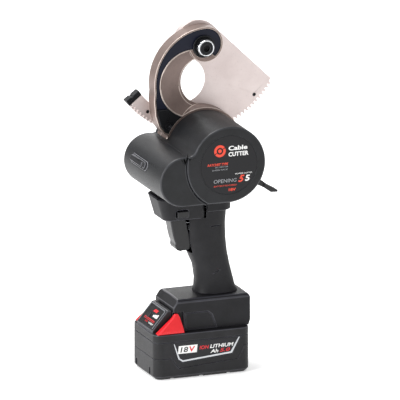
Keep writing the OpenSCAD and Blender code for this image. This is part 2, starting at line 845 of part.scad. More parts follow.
module cutting_hook() color("#c9b3a4")
    difference() {
        union() {
            difference() {
                slab(frame_y, frame_back)
                    hook_outline(0);
                hull() {
                    bar(bevel_x, bevel_z, hook_bevel_r, frame_y - 0.1, frame_y);
                    bar(edge_x - 1.5, edge_z - 0.5, hook_edge_r + 3, frame_back - 5, frame_back - 4.9);
                }
                hull() {
                    bar(edge_x - 1.5, edge_z - 0.5, hook_edge_r + 3, frame_back - 5.1, frame_back - 5);
                    bar(edge_x, edge_z, hook_edge_r, frame_back, frame_back + 0.1);
                }
            }
            bar(lobe_x, lobe_z, lobe_r, frame_y, frame_back);
            bar(drum_x, drum_z, frame_r, frame_y, frame_back);
        }
        // recess of the face plate
        slab(frame_y - 1, frame_y + plate_sink)
            difference() {
                face_outline(2.4 - seat);
                translate([drum_x, drum_z])
                    circle(r = frame_r - 0.1);
            }
        bar(pivot_x, pivot_z, pivot_r + run, frame_y - 1, frame_back + 1);
        bar(pivot_x, pivot_z, washer_r + gap, frame_y - 1, frame_y + plate_sink - plate_t);
        bar(drum_x, drum_z, bearing_r, frame_y - 1, frame_y + 12);
        bar(drum_x, drum_z, shaft_r + 0.6, frame_y - 1, frame_back + 1);
        for (a = bolt_angles)
            bar(drum_x + bolt_circle * cos(a), drum_z + bolt_circle * sin(a), 3 + run, frame_y + 4,
                frame_back + 1);
        bar(root_x, root_z, 1.6, frame_y, frame_y + 12);
    }

// Outline of the painted plate let into the near face of the hook
module face_outline(inset) {
    difference() {
        union() {
            hook_outline(inset);
            lobe(lobe_r - inset);
        }
        translate([bevel_x, bevel_z])
            circle(r = hook_bevel_r + (inset > 2.4 ? 1 + seat : 1));
        translate([edge_x, edge_z - 4])
            square([60, 60], center = true);
    }
}

module hook_face_plate() color("#1f2740")
    difference() {
        slab(frame_y + plate_sink - plate_t, frame_y + plate_sink)
            intersection() {
                face_outline(2.5);
                translate([hook_x - 100, hook_z - 30])
                    square([200, 200]);
            }
        bar(pivot_x, pivot_z, pivot_r + 0.4, frame_y - 5, frame_back);
    }

module root_clamp() color("#17181b")
    difference() {
        slab(frame_y - 1.6, frame_y + plate_sink)
            intersection() {
                difference() {
                    face_outline(2.5);
                    translate([drum_x, drum_z])
                        circle(r = frame_r + gap);
                }
                translate([hook_x - 100, hook_z - 100])
                    square([200, 70 - seat]);
            }
        bar(root_x, root_z, 1.8, frame_y - 5, frame_back);
        bar(root_x, root_z, 3.4, frame_y - 5, frame_y - 0.4);
    }

module root_screw() color("#3a3a3d")
    difference() {
        union() {
            bar(root_x, root_z, 3.2, frame_y - 1.4, frame_y - 0.4);
            bar(root_x, root_z, 1.5, frame_y - 0.4, frame_y + 11);
        }
        bar(root_x, root_z, 1.5, frame_y - 2, frame_y - 0.8, $fn = 6);
    }

// Outline of the toothed blade, about its pivot
module blade_outline() {
    step = 360 / sector_teeth;
    first = ceil((blade_end + 90) / step + 0.5);
    last = floor((blade_start + 90) / step - 0.5);
    teeth = [
        for (k = [last : -1 : first])
            let (t = tooth(pitch_r, sector_module, -90 + step * k, 2.6 / pitch_r))
                each [t[3], t[2], t[1], t[0]]
    ];
    root = pitch_r - 1.25 * sector_module;
    flank = acos(blade_hub_r / (pitch_r - 1));
    polygon(concat(
        [polar(pitch_r - 1, blade_start), polar(root, blade_start)],
        teeth,
        [polar(root, blade_end)],
        [for (k = [0 : 8]) polar(tail_r, blade_end + (20 + 0.3) * k / 8)],
        [polar(pitch_r - 34, -116)],
        arc([0, 0], blade_hub_r, -128, blade_start + flank - 360, 60)
    ));
}

module moving_blade() color("#cdb8ab")
    difference() {
        translate([pivot_x, 0, pivot_z])
            difference() {
                slab(blade_y, blade_back)
                    blade_outline();
                bar(blade_edge_x, blade_edge_z, blade_edge_r, blade_y - 1, blade_back + 1);
                taper(blade_edge_x, blade_edge_z, blade_edge_r, blade_edge_r + 9, blade_y + 0.4,
                    blade_back + 0.01);
                bar(0, 0, pivot_r + run + bush_wall, blade_y - 1, blade_back + 1);
                for (a = [-44.5, -128.5])
                    bar(polar(pitch_r - 8, a)[0], polar(pitch_r - 8, a)[1], 2.2, blade_y - 1, blade_back + 1);
            }
    }

module tail_stop() color("#141416")
    translate([pivot_x, 0, pivot_z])
        slab(blade_y + 0.2, blade_back - 0.2)
            difference() {
                intersection() {
                    circle(r = pitch_r + 1.6, $fn = 128);
                    polygon([
                        polar(tail_r - 1, blade_end - 0.06), polar(pitch_r + 9, blade_end - 0.06),
                        polar(pitch_r + 9, blade_end - 4), polar(tail_r - 1, blade_end - 4)
                    ]);
                }
                circle(r = tail_r - 0.4);
                translate(polar(pitch_r - 8, blade_end - 4.2))
                    circle(r = 1.6, $fn = 24);
            }

module pivot_bolt() color("#2a2a2d")
    difference() {
        union() {
            bar(pivot_x, pivot_z, pivot_r, frame_y - 11, cover_y);
            bar(pivot_x, pivot_z, 15, cover_y, cover_y + 5);
        }
        bar(pivot_x, pivot_z, 4.2, frame_y - 12, frame_y - 6);
        translate([pivot_x, cover_y + 2.5, pivot_z])
            rotate([-90, 0, 0])
                cylinder(r = 6, h = 6, $fn = 6);
    }

module pivot_nut() color("silver")
    difference() {
        union() {
            translate([pivot_x, frame_y - 8.6, pivot_z])
                rotate([-90, 0, 0])
                    cylinder(r = 12.2, h = 6.6, $fn = 6);
            bar(pivot_x, pivot_z, 9.9, frame_y - 10.4, frame_y - 2);
        }
        bar(pivot_x, pivot_z, pivot_r + run, frame_y - 12, frame_y);
    }

module pivot_washer() color("#55565a")
    ring(pivot_x, pivot_z, washer_r, pivot_r + run, frame_y - 2, frame_y + plate_sink - plate_t);

module pivot_bush() color("#b08d4f")
    ring(pivot_x, pivot_z, pivot_r + run + bush_wall, pivot_r + run, blade_y + 0.1, blade_back - 0.1);

module pinion_spacer() color("#8d8f93")
    difference() {
        slab(frame_back, cover_y)
            difference() {
                drum_circle(frame_r);
                translate([pivot_x, pivot_z])
                    circle(r = pitch_r + 4, $fn = 128);
                drum_circle(pinion_r + 4);
            }
        for (a = bolt_angles)
            bar(drum_x + bolt_circle * cos(a), drum_z + bolt_circle * sin(a), 3 + run, frame_back - 1,
                cover_y + 1);
    }

module far_cover() color("#36373a")
    difference() {
        union() {
            bar(drum_x, drum_z, frame_r, cover_y, cover_back - 1.5);
            taper(drum_x, drum_z, frame_r, frame_r - 1.5, cover_back - 1.5, cover_back);
        }
        bar(drum_x, drum_z, bearing_r - 1, cover_y - 1, cover_back - 2);
        for (a = bolt_angles) {
            bar(drum_x + bolt_circle * cos(a), drum_z + bolt_circle * sin(a), 3 + run, cover_y - 1,
                cover_back + 1);
            bar(drum_x + bolt_circle * cos(a), drum_z + bolt_circle * sin(a), 5.6, cover_back - 3.5,
                cover_back + 1);
        }
    }

module cover_bolts() color("#202023")
    for (a = bolt_angles) {
        x = drum_x + bolt_circle * cos(a);
        z = drum_z + bolt_circle * sin(a);
        bar(x, z, 3, frame_y + 5, cover_back - 3.5);
        difference() {
            bar(x, z, 5, cover_back - 3.5, cover_back - 0.5);
            translate([x, cover_back - 2.5, z])
                rotate([-90, 0, 0])
                    cylinder(r = 2.6, h = 4, $fn = 6);
        }
    }

// ---- Drive ---------------------------------------------------------------

module pinion_shaft() color("silver") {
    bar(drum_x, drum_z, shaft_r, train_y - 3, blade_y + 0.2);
    translate([drum_x, 0, drum_z])
        slab(blade_y + 0.2, blade_back - 0.2)
            gear(pinion_teeth, sector_module, 90 + 180 / pinion_teeth);
    bar(drum_x, drum_z, 6, blade_back - 0.2, cover_back - 2.6);
}

module shaft_bearings() color("#9a9ca0") {
    ring(drum_x, drum_z, bearing_r, shaft_r + run, frame_y, frame_y + 12);
    ring(drum_x, drum_z, bearing_r - 1, 6 + run, cover_y, cover_back - 2.2);
}

module drum_gear() color("#9a9ca0")
    translate([drum_x, 0, drum_z])
        difference() {
            slab(train_y, train_y + train_t)
                gear(wheel_teeth, train_module, 0);
            bar(0, 0, shaft_r, train_y - 1, train_y + train_t + 1);
            for (a = [0 : 60 : 300])
                bar(22 * cos(a), 22 * sin(a), 6, train_y - 1, train_y + train_t + 1);
        }

module ratchet_wheel() color("#808286")
    translate([drum_x, 0, drum_z])
        difference() {
            slab(ratchet_y, ratchet_y + ratchet_t)
                polygon([
                    for (k = [0 : ratchet_teeth - 1])
                        let (a = 360 * k / ratchet_teeth, s = 360 / ratchet_teeth)
                            each [polar(ratchet_r, a), polar(ratchet_r - 3, a + s * 0.1)]
                ]);
            bar(0, 0, shaft_r, ratchet_y - 1, ratchet_y + ratchet_t + 1);
        }

module lever_pin() color("silver")
    bar(lever_pin_x, lever_pin_z, 2.5, near_y + case_wall, ratchet_y + ratchet_t + 4);

module release_lever() color("#141416")
    difference() {
        union() {
            slab(ratchet_y, ratchet_y + ratchet_t - 0.4)
                hull() {
                    translate([lever_pin_x, lever_pin_z])
                        circle(r = 5, $fn = 32);
                    translate([lever_pin_x + 22, lever_pin_z - 12.6])
                        circle(r = 2.4, $fn = 32);
                }
            slab(ratchet_y - 3, ratchet_y + ratchet_t + 2)
                polygon([
                    [lever_pin_x + 20, lever_pin_z - 8.6], [lever_pin_x + 36.6, lever_pin_z - 18.4],
                    [lever_pin_x + 36.8, lever_pin_z - 21], [lever_pin_x + 28, lever_pin_z - 20.6],
                    [lever_pin_x + 19, lever_pin_z - 14]
                ]);
        }
        bar(lever_pin_x, lever_pin_z, 2.5 + run, near_y, frame_y);
        // notch that clears the pawl's hub
        bar(lever_pin_x, lever_pin_z, 6, ratchet_y - 1, ratchet_y + 4);
    }

module holding_pawl() color("#6f7175")
    difference() {
        union() {
            bar(lever_pin_x, lever_pin_z, 5, ratchet_y + 0.2, ratchet_y + 3.8);
            slab(ratchet_y + 0.2, ratchet_y + 3.8)
                polygon([
                    [lever_pin_x + 4, lever_pin_z + 3], [lever_pin_x - 2, lever_pin_z + 20],
                    [lever_pin_x - 9.8, lever_pin_z + 26.5], [lever_pin_x - 7, lever_pin_z + 15],
                    [lever_pin_x - 4, lever_pin_z + 2]
                ]);
        }
        bar(lever_pin_x, lever_pin_z, 2.5 + run, near_y, frame_y);
    }

module idler_gear() color("#9a9ca0")
    translate([idler_x, 0, idler_z])
        difference() {
            slab(train_y, train_y + train_t)
                gear(idler_teeth, train_module, idler_turn);
            bar(0, 0, 3 + run, train_y - 1, train_y + train_t + 1);
        }

module idler_pin() color("silver")
    bar(idler_x, idler_z, 3, near_y + case_wall, train_y + train_t + 3);

module output_gear() color("#9a9ca0") {
    translate([motor_x, 0, motor_z])
        slab(train_y, train_y + train_t)
            gear(output_teeth, train_module, output_turn);
    bar(motor_x, motor_z, 5, train_y + train_t, gearbox_y + 4);
    bar(motor_x, motor_z, 17, gearbox_y + 4, gearbox_y + 8);
    for (a = [90, 210, 330])
        bar(motor_x + 11 * cos(a), motor_z + 11 * sin(a), 2, gearbox_y + 8, gearbox_y + 20);
}

module planet_gears() color("#b08d4f")
    for (a = [90, 210, 330])
        ring(motor_x + 11 * cos(a), motor_z + 11 * sin(a), 6.4, 2 + run, gearbox_y + 9, gearbox_y + 19);

module gearbox_housing() color("#4a4b4f")
    difference() {
        bar(motor_x, motor_z, can_r, gearbox_y, gearbox_y + gearbox_len);
        bar(motor_x, motor_z, 18, gearbox_y + 3, gearbox_y + gearbox_len + 1);
        bar(motor_x, motor_z, 5 + run, gearbox_y - 1, gearbox_y + 5);
    }

module motor_can() color("#6a6c70")
    difference() {
        bar(motor_x, motor_z, can_r, can_y, can_y + can_len);
        bar(motor_x, motor_z, can_r - 3, can_y + 3, can_y + can_len + 1);
        bar(motor_x, motor_z, 6, can_y - 1, can_y + 5);
    }

module rotor() color("#7d5a3a") {
    bar(motor_x, motor_z, 2.5, gearbox_y + 9, can_y + can_len + 1.4);
    bar(motor_x, motor_z, 3.6, gearbox_y + 9.2, gearbox_y + 18.8);
    bar(motor_x, motor_z, can_r - 4.2, can_y + 7, can_y + can_len - 14);
}

module motor_bearings() color("silver") {
    ring(motor_x, motor_z, 6, 2.5 + run, can_y, can_y + 4.5);
    difference() {
        bar(motor_x, motor_z, can_r - 3, can_y + can_len - 4, can_y + can_len);
        bar(motor_x, motor_z, 2.5 + run, can_y, can_y + can_len + 3);
    }
}

module cooling_fan() color("#202023")
    difference() {
        union() {
            bar(motor_x, motor_z, 8, can_y + can_len - 13, can_y + can_len - 6);
            for (a = [0 : 40 : 320])
                translate([motor_x, can_y + can_len - 13, motor_z])
                    rotate([0, a, 0])
                        translate([6, 0, -0.8])
                            cube([can_r - 4.6 - 6, 6, 1.6]);
        }
        bar(motor_x, motor_z, 2.5, can_y, far_y);
    }

battery_lower_case();
battery_upper_case();
battery_latch_left();
battery_latch_right();
gauge_panel();
gauge_button();
cell_pack();
cell_holder();
battery_board();
battery_side_plates();
battery_screws();
foot_block();
contact_block();
handle_left_shell();
handle_right_shell();
handle_screws();
grip_collar();
trigger_shroud();
trigger();
trigger_switch();
trigger_spring();
lock_button();
controller_board();
gear_case();
motor_cover();
end_label();
work_light();
work_light_lens();
cover_bolts();
cutting_hook();
hook_face_plate();
root_clamp();
root_screw();
moving_blade();
tail_stop();
pivot_bolt();
pivot_nut();
pivot_washer();
pivot_bush();
pinion_spacer();
far_cover();
pinion_shaft();
shaft_bearings();
drum_gear();
ratchet_wheel();
release_lever();
lever_pin();
holding_pawl();
idler_gear();
idler_pin();
gearbox_housing();
output_gear();
planet_gears();
motor_can();
rotor();
motor_bearings();
cooling_fan();
case_screws();
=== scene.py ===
import json
import math

import bmesh
import bpy
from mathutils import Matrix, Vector

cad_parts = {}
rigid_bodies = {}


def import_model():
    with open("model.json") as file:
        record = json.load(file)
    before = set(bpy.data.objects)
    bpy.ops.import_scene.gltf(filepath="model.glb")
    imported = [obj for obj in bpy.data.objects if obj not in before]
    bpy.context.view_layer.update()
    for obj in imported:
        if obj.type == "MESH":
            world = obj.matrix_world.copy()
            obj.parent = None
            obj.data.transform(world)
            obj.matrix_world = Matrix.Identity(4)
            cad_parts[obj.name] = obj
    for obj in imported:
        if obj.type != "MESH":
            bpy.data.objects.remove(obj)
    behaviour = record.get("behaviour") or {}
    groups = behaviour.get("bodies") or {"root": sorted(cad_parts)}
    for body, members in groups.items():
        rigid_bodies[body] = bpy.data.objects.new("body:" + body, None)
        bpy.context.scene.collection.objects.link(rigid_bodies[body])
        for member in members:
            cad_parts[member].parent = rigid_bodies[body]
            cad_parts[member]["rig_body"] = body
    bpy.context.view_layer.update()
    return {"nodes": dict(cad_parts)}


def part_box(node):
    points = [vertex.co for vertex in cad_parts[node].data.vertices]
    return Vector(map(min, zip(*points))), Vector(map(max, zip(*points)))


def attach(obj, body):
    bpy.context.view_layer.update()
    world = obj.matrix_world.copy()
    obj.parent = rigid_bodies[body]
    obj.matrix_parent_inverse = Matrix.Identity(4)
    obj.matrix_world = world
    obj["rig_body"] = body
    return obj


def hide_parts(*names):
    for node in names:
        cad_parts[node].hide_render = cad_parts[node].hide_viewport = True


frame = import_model()
MM = 0.001


# ---- Battery cases ---------------------------------------------------------------
# The tub and the lid of the battery are charcoal glass-filled nylon, moulded in a
# spark-eroded tool, which leaves a fine satin grain. Four screws from below join them.

def linear(colour):
    """An sRGB hex value as linear RGBA."""
    parts = [int(colour[i:i + 2], 16) / 255 for i in (1, 3, 5)]
    return [*(p / 12.92 if p <= 0.04045 else ((p + 0.055) / 1.055) ** 2.4 for p in parts), 1]


def add(tree, kind, settings=None, inputs=None):
    """Adds one shader node, with its settings and each input's value or link."""
    node = tree.nodes.new("ShaderNode" + kind)
    for key, value in (settings or {}).items():
        setattr(node, key, value)
    for key, value in (inputs or {}).items():
        if isinstance(value, bpy.types.NodeSocket):
            tree.links.new(value, node.inputs[key])
        else:
            node.inputs[key].default_value = value
    return node


def blank(name):
    """A new material with an empty tree, and the place on the piece that its patterns use."""
    material = bpy.data.materials.new(name)
    material.use_nodes = True
    material.node_tree.nodes.clear()
    return material, material.node_tree, add(material.node_tree, "TexCoord").outputs["Object"]


def moulded_nylon(name, deep, pale, roughness=0.5, grain=1.1, shine=0.3):
    """Nylon with glass fibre, moulded: cloudy charcoal, with the tool's spark grain.
    The real grain is about 0.2 mm, drawn coarser so that it shows."""
    material, tree, place = blank(name)
    clouds = add(tree, "TexNoise", {},
                 {"Vector": place, "Scale": 1000 / 22, "Detail": 4, "Roughness": 0.65})
    grains = add(tree, "TexNoise", {},
                 {"Vector": place, "Scale": 1000 / grain, "Detail": 3, "Roughness": 0.7})
    pits = add(tree, "TexVoronoi", {"feature": "SMOOTH_F1"},
               {"Vector": place, "Scale": 1000 / (1.5 * grain)})
    height = add(tree, "Math", {"operation": "MULTIPLY_ADD"},
                 {0: pits.outputs["Distance"], 1: 0.6, 2: grains.outputs[0]})
    relief = add(tree, "Bump", {}, {"Height": height.outputs[0], "Strength": 0.55, "Distance": 0.06 * MM})
    shade = add(tree, "MapRange", {}, {"Value": clouds.outputs[0], "From Min": 0.35, "From Max": 0.65})
    colour = add(tree, "Mix", {"data_type": "RGBA"},
                 {0: shade.outputs[0], 6: linear(deep), 7: linear(pale)})
    gloss = add(tree, "MapRange", {}, {"Value": grains.outputs[0], "From Min": 0.3, "From Max": 0.7,
                                       "To Min": roughness - 0.07, "To Max": roughness + 0.09})
    body = add(tree, "BsdfPrincipled", {}, {"Base Color": colour.outputs[2], "Roughness": gloss.outputs[0],
                                            "Normal": relief.outputs[0], "IOR": 1.53,
                                            "Specular IOR Level": shine})
    add(tree, "OutputMaterial", {}, {"Surface": body.outputs[0]})
    return material


def rounded_part(name, node, radius, face, edge, sharp=28):
    """The node's shape with its sharp edges rounded, as a mould or a cutter leaves them.
    radius is in mm, or a function that gives it from the middle of an edge in mm."""
    mesh = frame["nodes"][node].data.copy()
    mesh.name = name
    solid = bmesh.new()
    solid.from_mesh(mesh)
    # Flat areas are merged and then split evenly, which keeps black faces out of curved cuts.
    bmesh.ops.remove_doubles(solid, verts=solid.verts, dist=0.002 * MM)
    bmesh.ops.dissolve_limit(solid, angle_limit=math.radians(0.02), verts=solid.verts, edges=solid.edges)
    bmesh.ops.triangulate(solid, faces=[f for f in solid.faces if len(f.verts) > 4],
                          quad_method="BEAUTY", ngon_method="EAR_CLIP")
    weight = solid.edges.layers.float.new("bevel_weight_edge")
    radii = {}
    for e in solid.edges:
        if len(e.link_faces) == 2 and e.calc_face_angle() > math.radians(sharp):
            middle = (e.verts[0].co + e.verts[1].co) / (2 * MM)
            radii[e] = radius(middle) if callable(radius) else radius
    widest = max(radii.values())
    for e, r in radii.items():
        e[weight] = r / widest
    solid.to_mesh(mesh)
    solid.free()
    mesh.materials.clear()
    mesh.materials.append(face)
    mesh.materials.append(edge)
    for polygon in mesh.polygons:
        polygon.use_smooth = True
        polygon.material_index = 0
    piece = bpy.data.objects.new(name, mesh)
    bpy.context.scene.collection.objects.link(piece)
    rounding = piece.modifiers.new("rounding", "BEVEL")
    rounding.limit_method = "WEIGHT"
    rounding.width = widest * MM
    rounding.segments = 3
    # The rounded edges take the second finish, which in most parts is painted lighter than the faces: a
    # painted highlight along the edges, with a little wear.
    rounding.material = 1
    rounding.use_clamp_overlap = False
    rounding.miter_outer = "MITER_ARC"
    piece.modifiers.new("flat faces stay flat", "WEIGHTED_NORMAL").weight = 80
    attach(piece, frame["nodes"][node]["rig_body"])
    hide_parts(node)
    return piece


battery_low, battery_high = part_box("battery_lower_case")
battery_front = battery_low.x / MM
battery_side = battery_high.y / MM
battery_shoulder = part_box("foot_block")[0].z / MM - 0.3

charcoal = moulded_nylon("charcoal glass-filled nylon", "#151517", "#1e1e21")
# The edge finish is paler than the faces: a painted highlight on the rounded edges of the battery case.
charcoal_highlight_edge = moulded_nylon("charcoal nylon, highlight-painted edges", "#303036", "#3e3e45", 0.4, 1.1, 0.5)
rounded_part("battery_tub", "battery_lower_case",
             lambda m: 1.2 if m.z < 1 else 0.35, charcoal, charcoal_highlight_edge)
rounded_part("battery_lid", "battery_upper_case",
             lambda m: 1.1 if m.z > battery_shoulder - 1 else 0.3, charcoal, charcoal_highlight_edge)


# ---- Battery side plates ---------------------------------------------------------
# A printed polycarbonate plate is let into each side. A bright strip of metallised
# film frames it on three sides, and the words are screen-printed ink.

def printed_film(name, deep, pale):
    """Textured polycarbonate film: smoother than the case, with a faint fine weave of dots."""
    material, tree, place = blank(name)
    dots = add(tree, "TexVoronoi", {}, {"Vector": place, "Scale": 1000 / 0.9})
    cloud = add(tree, "TexNoise", {}, {"Vector": place, "Scale": 1000 / 14, "Detail": 2})
    colour = add(tree, "Mix", {"data_type": "RGBA"},
                 {0: cloud.outputs[0], 6: linear(deep), 7: linear(pale)})
    relief = add(tree, "Bump", {},
                 {"Height": dots.outputs["Distance"], "Strength": 0.25, "Distance": 0.03 * MM})
    gloss = add(tree, "MapRange", {}, {"Value": cloud.outputs[0], "To Min": 0.34, "To Max": 0.48})
    body = add(tree, "BsdfPrincipled", {}, {"Base Color": colour.outputs[2], "Roughness": gloss.outputs[0],
                                            "Normal": relief.outputs[0], "IOR": 1.58,
                                            "Specular IOR Level": 0.25})
    add(tree, "OutputMaterial", {}, {"Surface": body.outputs[0]})
    return material


def screen_ink(name, colour, worn, roughness=0.42):
    """Screen-printed ink: one flat colour that is a little thin where the mesh printed it."""
    material, tree, place = blank(name)
    mesh_marks = add(tree, "TexNoise", {}, {"Vector": place, "Scale": 1000 / 0.7, "Detail": 2})
    thin = add(tree, "MapRange", {}, {"Value": mesh_marks.outputs[0], "From Min": 0.45, "From Max": 0.8,
                                      "To Max": 0.5})
    mixed = add(tree, "Mix", {"data_type": "RGBA"},
                {0: thin.outputs[0], 6: linear(colour), 7: linear(worn)})
    relief = add(tree, "Bump", {},
                 {"Height": mesh_marks.outputs[0], "Strength": 0.2, "Distance": 0.02 * MM})
    body = add(tree, "BsdfPrincipled", {}, {"Base Color": mixed.outputs[2], "Roughness": roughness,
                                            "Normal": relief.outputs[0]})
    add(tree, "OutputMaterial", {}, {"Surface": body.outputs[0]})
    return material


def turned_metal(name, pale, dark, roughness, line=0.8, metallic=1.0):
    """Bare metal that was turned, ground or rolled: fine lines along Y, and a little staining."""
    material, tree, place = blank(name)
    along = add(tree, "Mapping", {}, {"Vector": place, "Scale": (1, 0.08, 1)})
    lines = add(tree, "TexNoise", {}, {"Vector": along.outputs[0], "Scale": 1000 / line, "Detail": 3})
    stain = add(tree, "TexNoise", {}, {"Vector": place, "Scale": 1000 / 12, "Detail": 4, "Roughness": 0.7})
    colour = add(tree, "Mix", {"data_type": "RGBA"},
                 {0: stain.outputs[0], 6: linear(pale), 7: linear(dark)})
    gloss = add(tree, "MapRange", {}, {"Value": lines.outputs[0], "To Min": roughness - 0.1,
                                       "To Max": roughness + 0.14})
    relief = add(tree, "Bump", {}, {"Height": lines.outputs[0], "Strength": 0.3, "Distance": 0.03 * MM})
    body = add(tree, "BsdfPrincipled", {}, {"Base Color": colour.outputs[2], "Roughness": gloss.outputs[0],
                                            "Normal": relief.outputs[0], "Metallic": metallic})
    add(tree, "OutputMaterial", {}, {"Surface": body.outputs[0]})
    return material


def words(text, left, base, height, width, slant=0.0, bold=0.0):
    """The outlines of words as (points, faces) in mm on a flat face, fitted to a height and width."""
    curve = bpy.data.curves.new("words", "FONT")
    curve.body = text
    curve.shear = slant
    curve.offset = bold
    curve.resolution_u = 3
    holder = bpy.data.objects.new("words", curve)
    bpy.context.scene.collection.objects.link(holder)
    graph = bpy.context.evaluated_depsgraph_get()
    flat = bpy.data.meshes.new_from_object(holder.evaluated_get(graph))
    xs = [v.co.x for v in flat.vertices]
    ys = [v.co.y for v in flat.vertices]
    sx = width / (max(xs) - min(xs))
    sy = height / (max(ys) - min(ys))
    points = [(left + (v.co.x - min(xs)) * sx, base + (v.co.y - min(ys)) * sy) for v in flat.vertices]
    faces = [tuple(p.vertices) for p in flat.polygons]
    bpy.data.objects.remove(holder)
    bpy.data.meshes.remove(flat)
    return points, faces


def patch(*points):
    """One flat shape with straight sides."""
    return list(points), [tuple(range(len(points)))]


def printed(name, marks, origin, right, up, material, body, thick=0.12):
    """Thin raised marks on a flat face. origin is in mm, and right and up are the face's directions."""
    right, up = Vector(right), Vector(up)
    out = right.cross(up)
    sheet = bmesh.new()
    for points, faces in marks:
        made = [sheet.verts.new((Vector(origin) + right * u + up * v) * MM) for u, v in points]
        for f in faces:
            sheet.faces.new([made[i] for i in f])
    bmesh.ops.recalc_face_normals(sheet, faces=sheet.faces)
    for f in sheet.faces:
        if f.normal.dot(out) < 0:
            f.normal_flip()
    mesh = bpy.data.meshes.new(name)
    sheet.to_mesh(mesh)
    sheet.free()
    mesh.materials.append(material)
    piece = bpy.data.objects.new(name, mesh)
    bpy.context.scene.collection.objects.link(piece)
    depth = piece.modifiers.new("thickness", "SOLIDIFY")
    depth.thickness = thick * MM
    depth.offset = 1
    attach(piece, body)
    return piece


def finish_nodes(material, *nodes):
    """The frame's own shape is right for these nodes, so they only take a finish."""
    for node in nodes:
        for place in frame["nodes"][node].material_slots:
            place.material = material


white_ink = screen_ink("white screen ink", "#f2f2f0", "#cfcfd0")
red_ink = screen_ink("red screen ink", "#d8232b", "#a81c22")
black_ink = screen_ink("black screen ink", "#101012", "#1c1c1f")
grey_ink = screen_ink("grey screen ink", "#9b9da1", "#6d6f74")
plate_film = printed_film("charcoal polycarbonate plate", "#1a1a1d", "#222226")
bright_film = turned_metal("metallised film", "#dfe1e4", "#a8abb0", 0.3, 1.4)

plate_low, plate_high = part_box("battery_side_plates")
plate_front, plate_back = plate_low.x / MM, plate_high.x / MM
plate_base, plate_top = plate_low.z / MM, plate_high.z / MM
finish_nodes(plate_film, "battery_side_plates")
for side, place in ((-1, "near"), (1, "far")):
    flip = -side
    origin = (0, side * battery_side, 0)
    right, up = (flip, 0, 0), (0, 0, 1)
    rail = [(plate_front + 1.4, plate_top - 1), (plate_front + 7.2, plate_base + 4.6),
            (plate_front + 12.6, plate_base + 0.9), (plate_back - 11.3, plate_base + 5.9),
            (plate_back - 1.4, plate_top + 0.2)]
    inner = [(plate_front + 2.2, plate_top - 1), (plate_front + 8.9, plate_base + 5.4),
             (plate_front + 13.2, plate_base + 2.8), (plate_back - 13.2, plate_base + 7.8),
             (plate_back - 2.8, plate_top + 0.2)]
    frame_marks = [patch(*((flip * x, z) for x, z in (rail[i], rail[i + 1], inner[i + 1], inner[i])))
                   for i in range(4)]
    printed(f"plate_frame_{place}", frame_marks, origin, right, up, bright_film, "battery",
            0.3)
    start = plate_front + 6.8 if side < 0 else -plate_back + 9
    badge = patch((start, 31.4), (start + 24, 31.4), (start + 25, 41), (start + 1, 41))
    digits_left = start + 3
    printed(f"plate_badge_{place}", [badge], origin, right, up, white_ink, "battery", 0.1)
    printed(f"plate_volts_{place}", [words("18", digits_left, 32.8, 6.6, 10, 0.15, 0.02)],
            origin, right, up, black_ink, "battery", 0.16)
    printed(f"plate_volt_mark_{place}", [words("V", digits_left + 11.4, 32.8, 6.6, 7.6, 0.15, 0.03)],
            origin, right, up, red_ink, "battery", 0.16)
    printed(f"plate_words_{place}",
            [words("LITHIUM", start + 41, 34.6, 4.5, 30, 0.2, 0.02),
             words("Ah", start + 41.5, 28.6, 4.4, 10, 0.2, 0.02)],
            origin, right, up, white_ink, "battery")
    printed(f"plate_red_words_{place}",
            [words("ION", start + 27.5, 34.4, 4.5, 12, 0.2, 0.02),
             words("5.0", start + 53.5, 28.8, 4.4, 13, 0.2, 0.02)],
            origin, right, up, red_ink, "battery")


# ---- Fuel gauge ------------------------------------------------------------------
# The gauge is a black film panel on the sloping front of the lid, with a bright rim
# along its edges, four light bars that step up, and a button beside them.

# The slope starts 1.2 mm behind the front and 3 mm above the shoulder of the lid.
gauge_foot = Vector((battery_front + 1.2, 0, battery_shoulder + 3))
gauge_slope = math.radians(49.56)
gauge_up = (math.cos(gauge_slope), 0, math.sin(gauge_slope))
gauge_right = (0, -1, 0)
gauge_low, gauge_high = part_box("gauge_panel")
gauge_half = gauge_high.y / MM
gauge_long = (gauge_high.z - gauge_low.z) / MM / math.sin(gauge_slope) - 1
gauge_face = gauge_foot + Vector(gauge_right).cross(Vector(gauge_up)) * 0.5
gauge_film = printed_film("black gauge film", "#0e0e10", "#17171a")
rim_metal = turned_metal("satin metallised rim", "#b9bcc1", "#7c7f85", 0.36, 1.2, 0.8)
rounded_part("gauge_plate", "gauge_panel", 0.25, gauge_film, gauge_film)
rounded_part("gauge_push", "gauge_button", 0.5, charcoal, charcoal_highlight_edge)

low_v, high_v, rim_u = 2.2, gauge_long + 4.6, gauge_half + 2.2
outline = [(-rim_u, low_v), (-rim_u, high_v - 2), (-rim_u + 2, high_v), (rim_u - 2, high_v),
           (rim_u, high_v - 2), (rim_u, low_v)]
inside = [(-rim_u + 1.3, low_v), (-rim_u + 1.3, high_v - 2.6), (-rim_u + 2.6, high_v - 1.3),
          (rim_u - 2.6, high_v - 1.3), (rim_u - 1.3, high_v - 2.6), (rim_u - 1.3, low_v)]
printed("gauge_rim", [patch(outline[i], outline[i + 1], inside[i + 1], inside[i]) for i in range(5)],
        gauge_foot, gauge_right, gauge_up, rim_metal, "battery", 0.7)
bars = [patch((3.5 + 3.4 * k, 14.5), (5.9 + 3.4 * k, 14.5), (5.9 + 3.4 * k, 17.2 + 0.9 * k),
              (3.5 + 3.4 * k, 17.2 + 0.9 * k)) for k in range(4)]
printed("gauge_bars", bars + [words("LITHIUM", 4.5, 5.2, 2.1, 13, 0.1)],
        gauge_face, gauge_right, gauge_up, white_ink, "battery", 0.15)
printed("gauge_red_marks",
        [patch((-4.5, 20.4), (6.5, 20.4), (8.5, 24.2), (-1.5, 24.2)),
         patch((-15, 10.2), (17, 10.2), (17, 11), (-15, 11)),
         patch((-15, 8.6), (17, 8.6), (17, 9.2), (-15, 9.2)),
         words("ION", -7, 5.2, 2.1, 8, 0.1)],
        gauge_face, gauge_right, gauge_up, red_ink, "battery", 0.15)


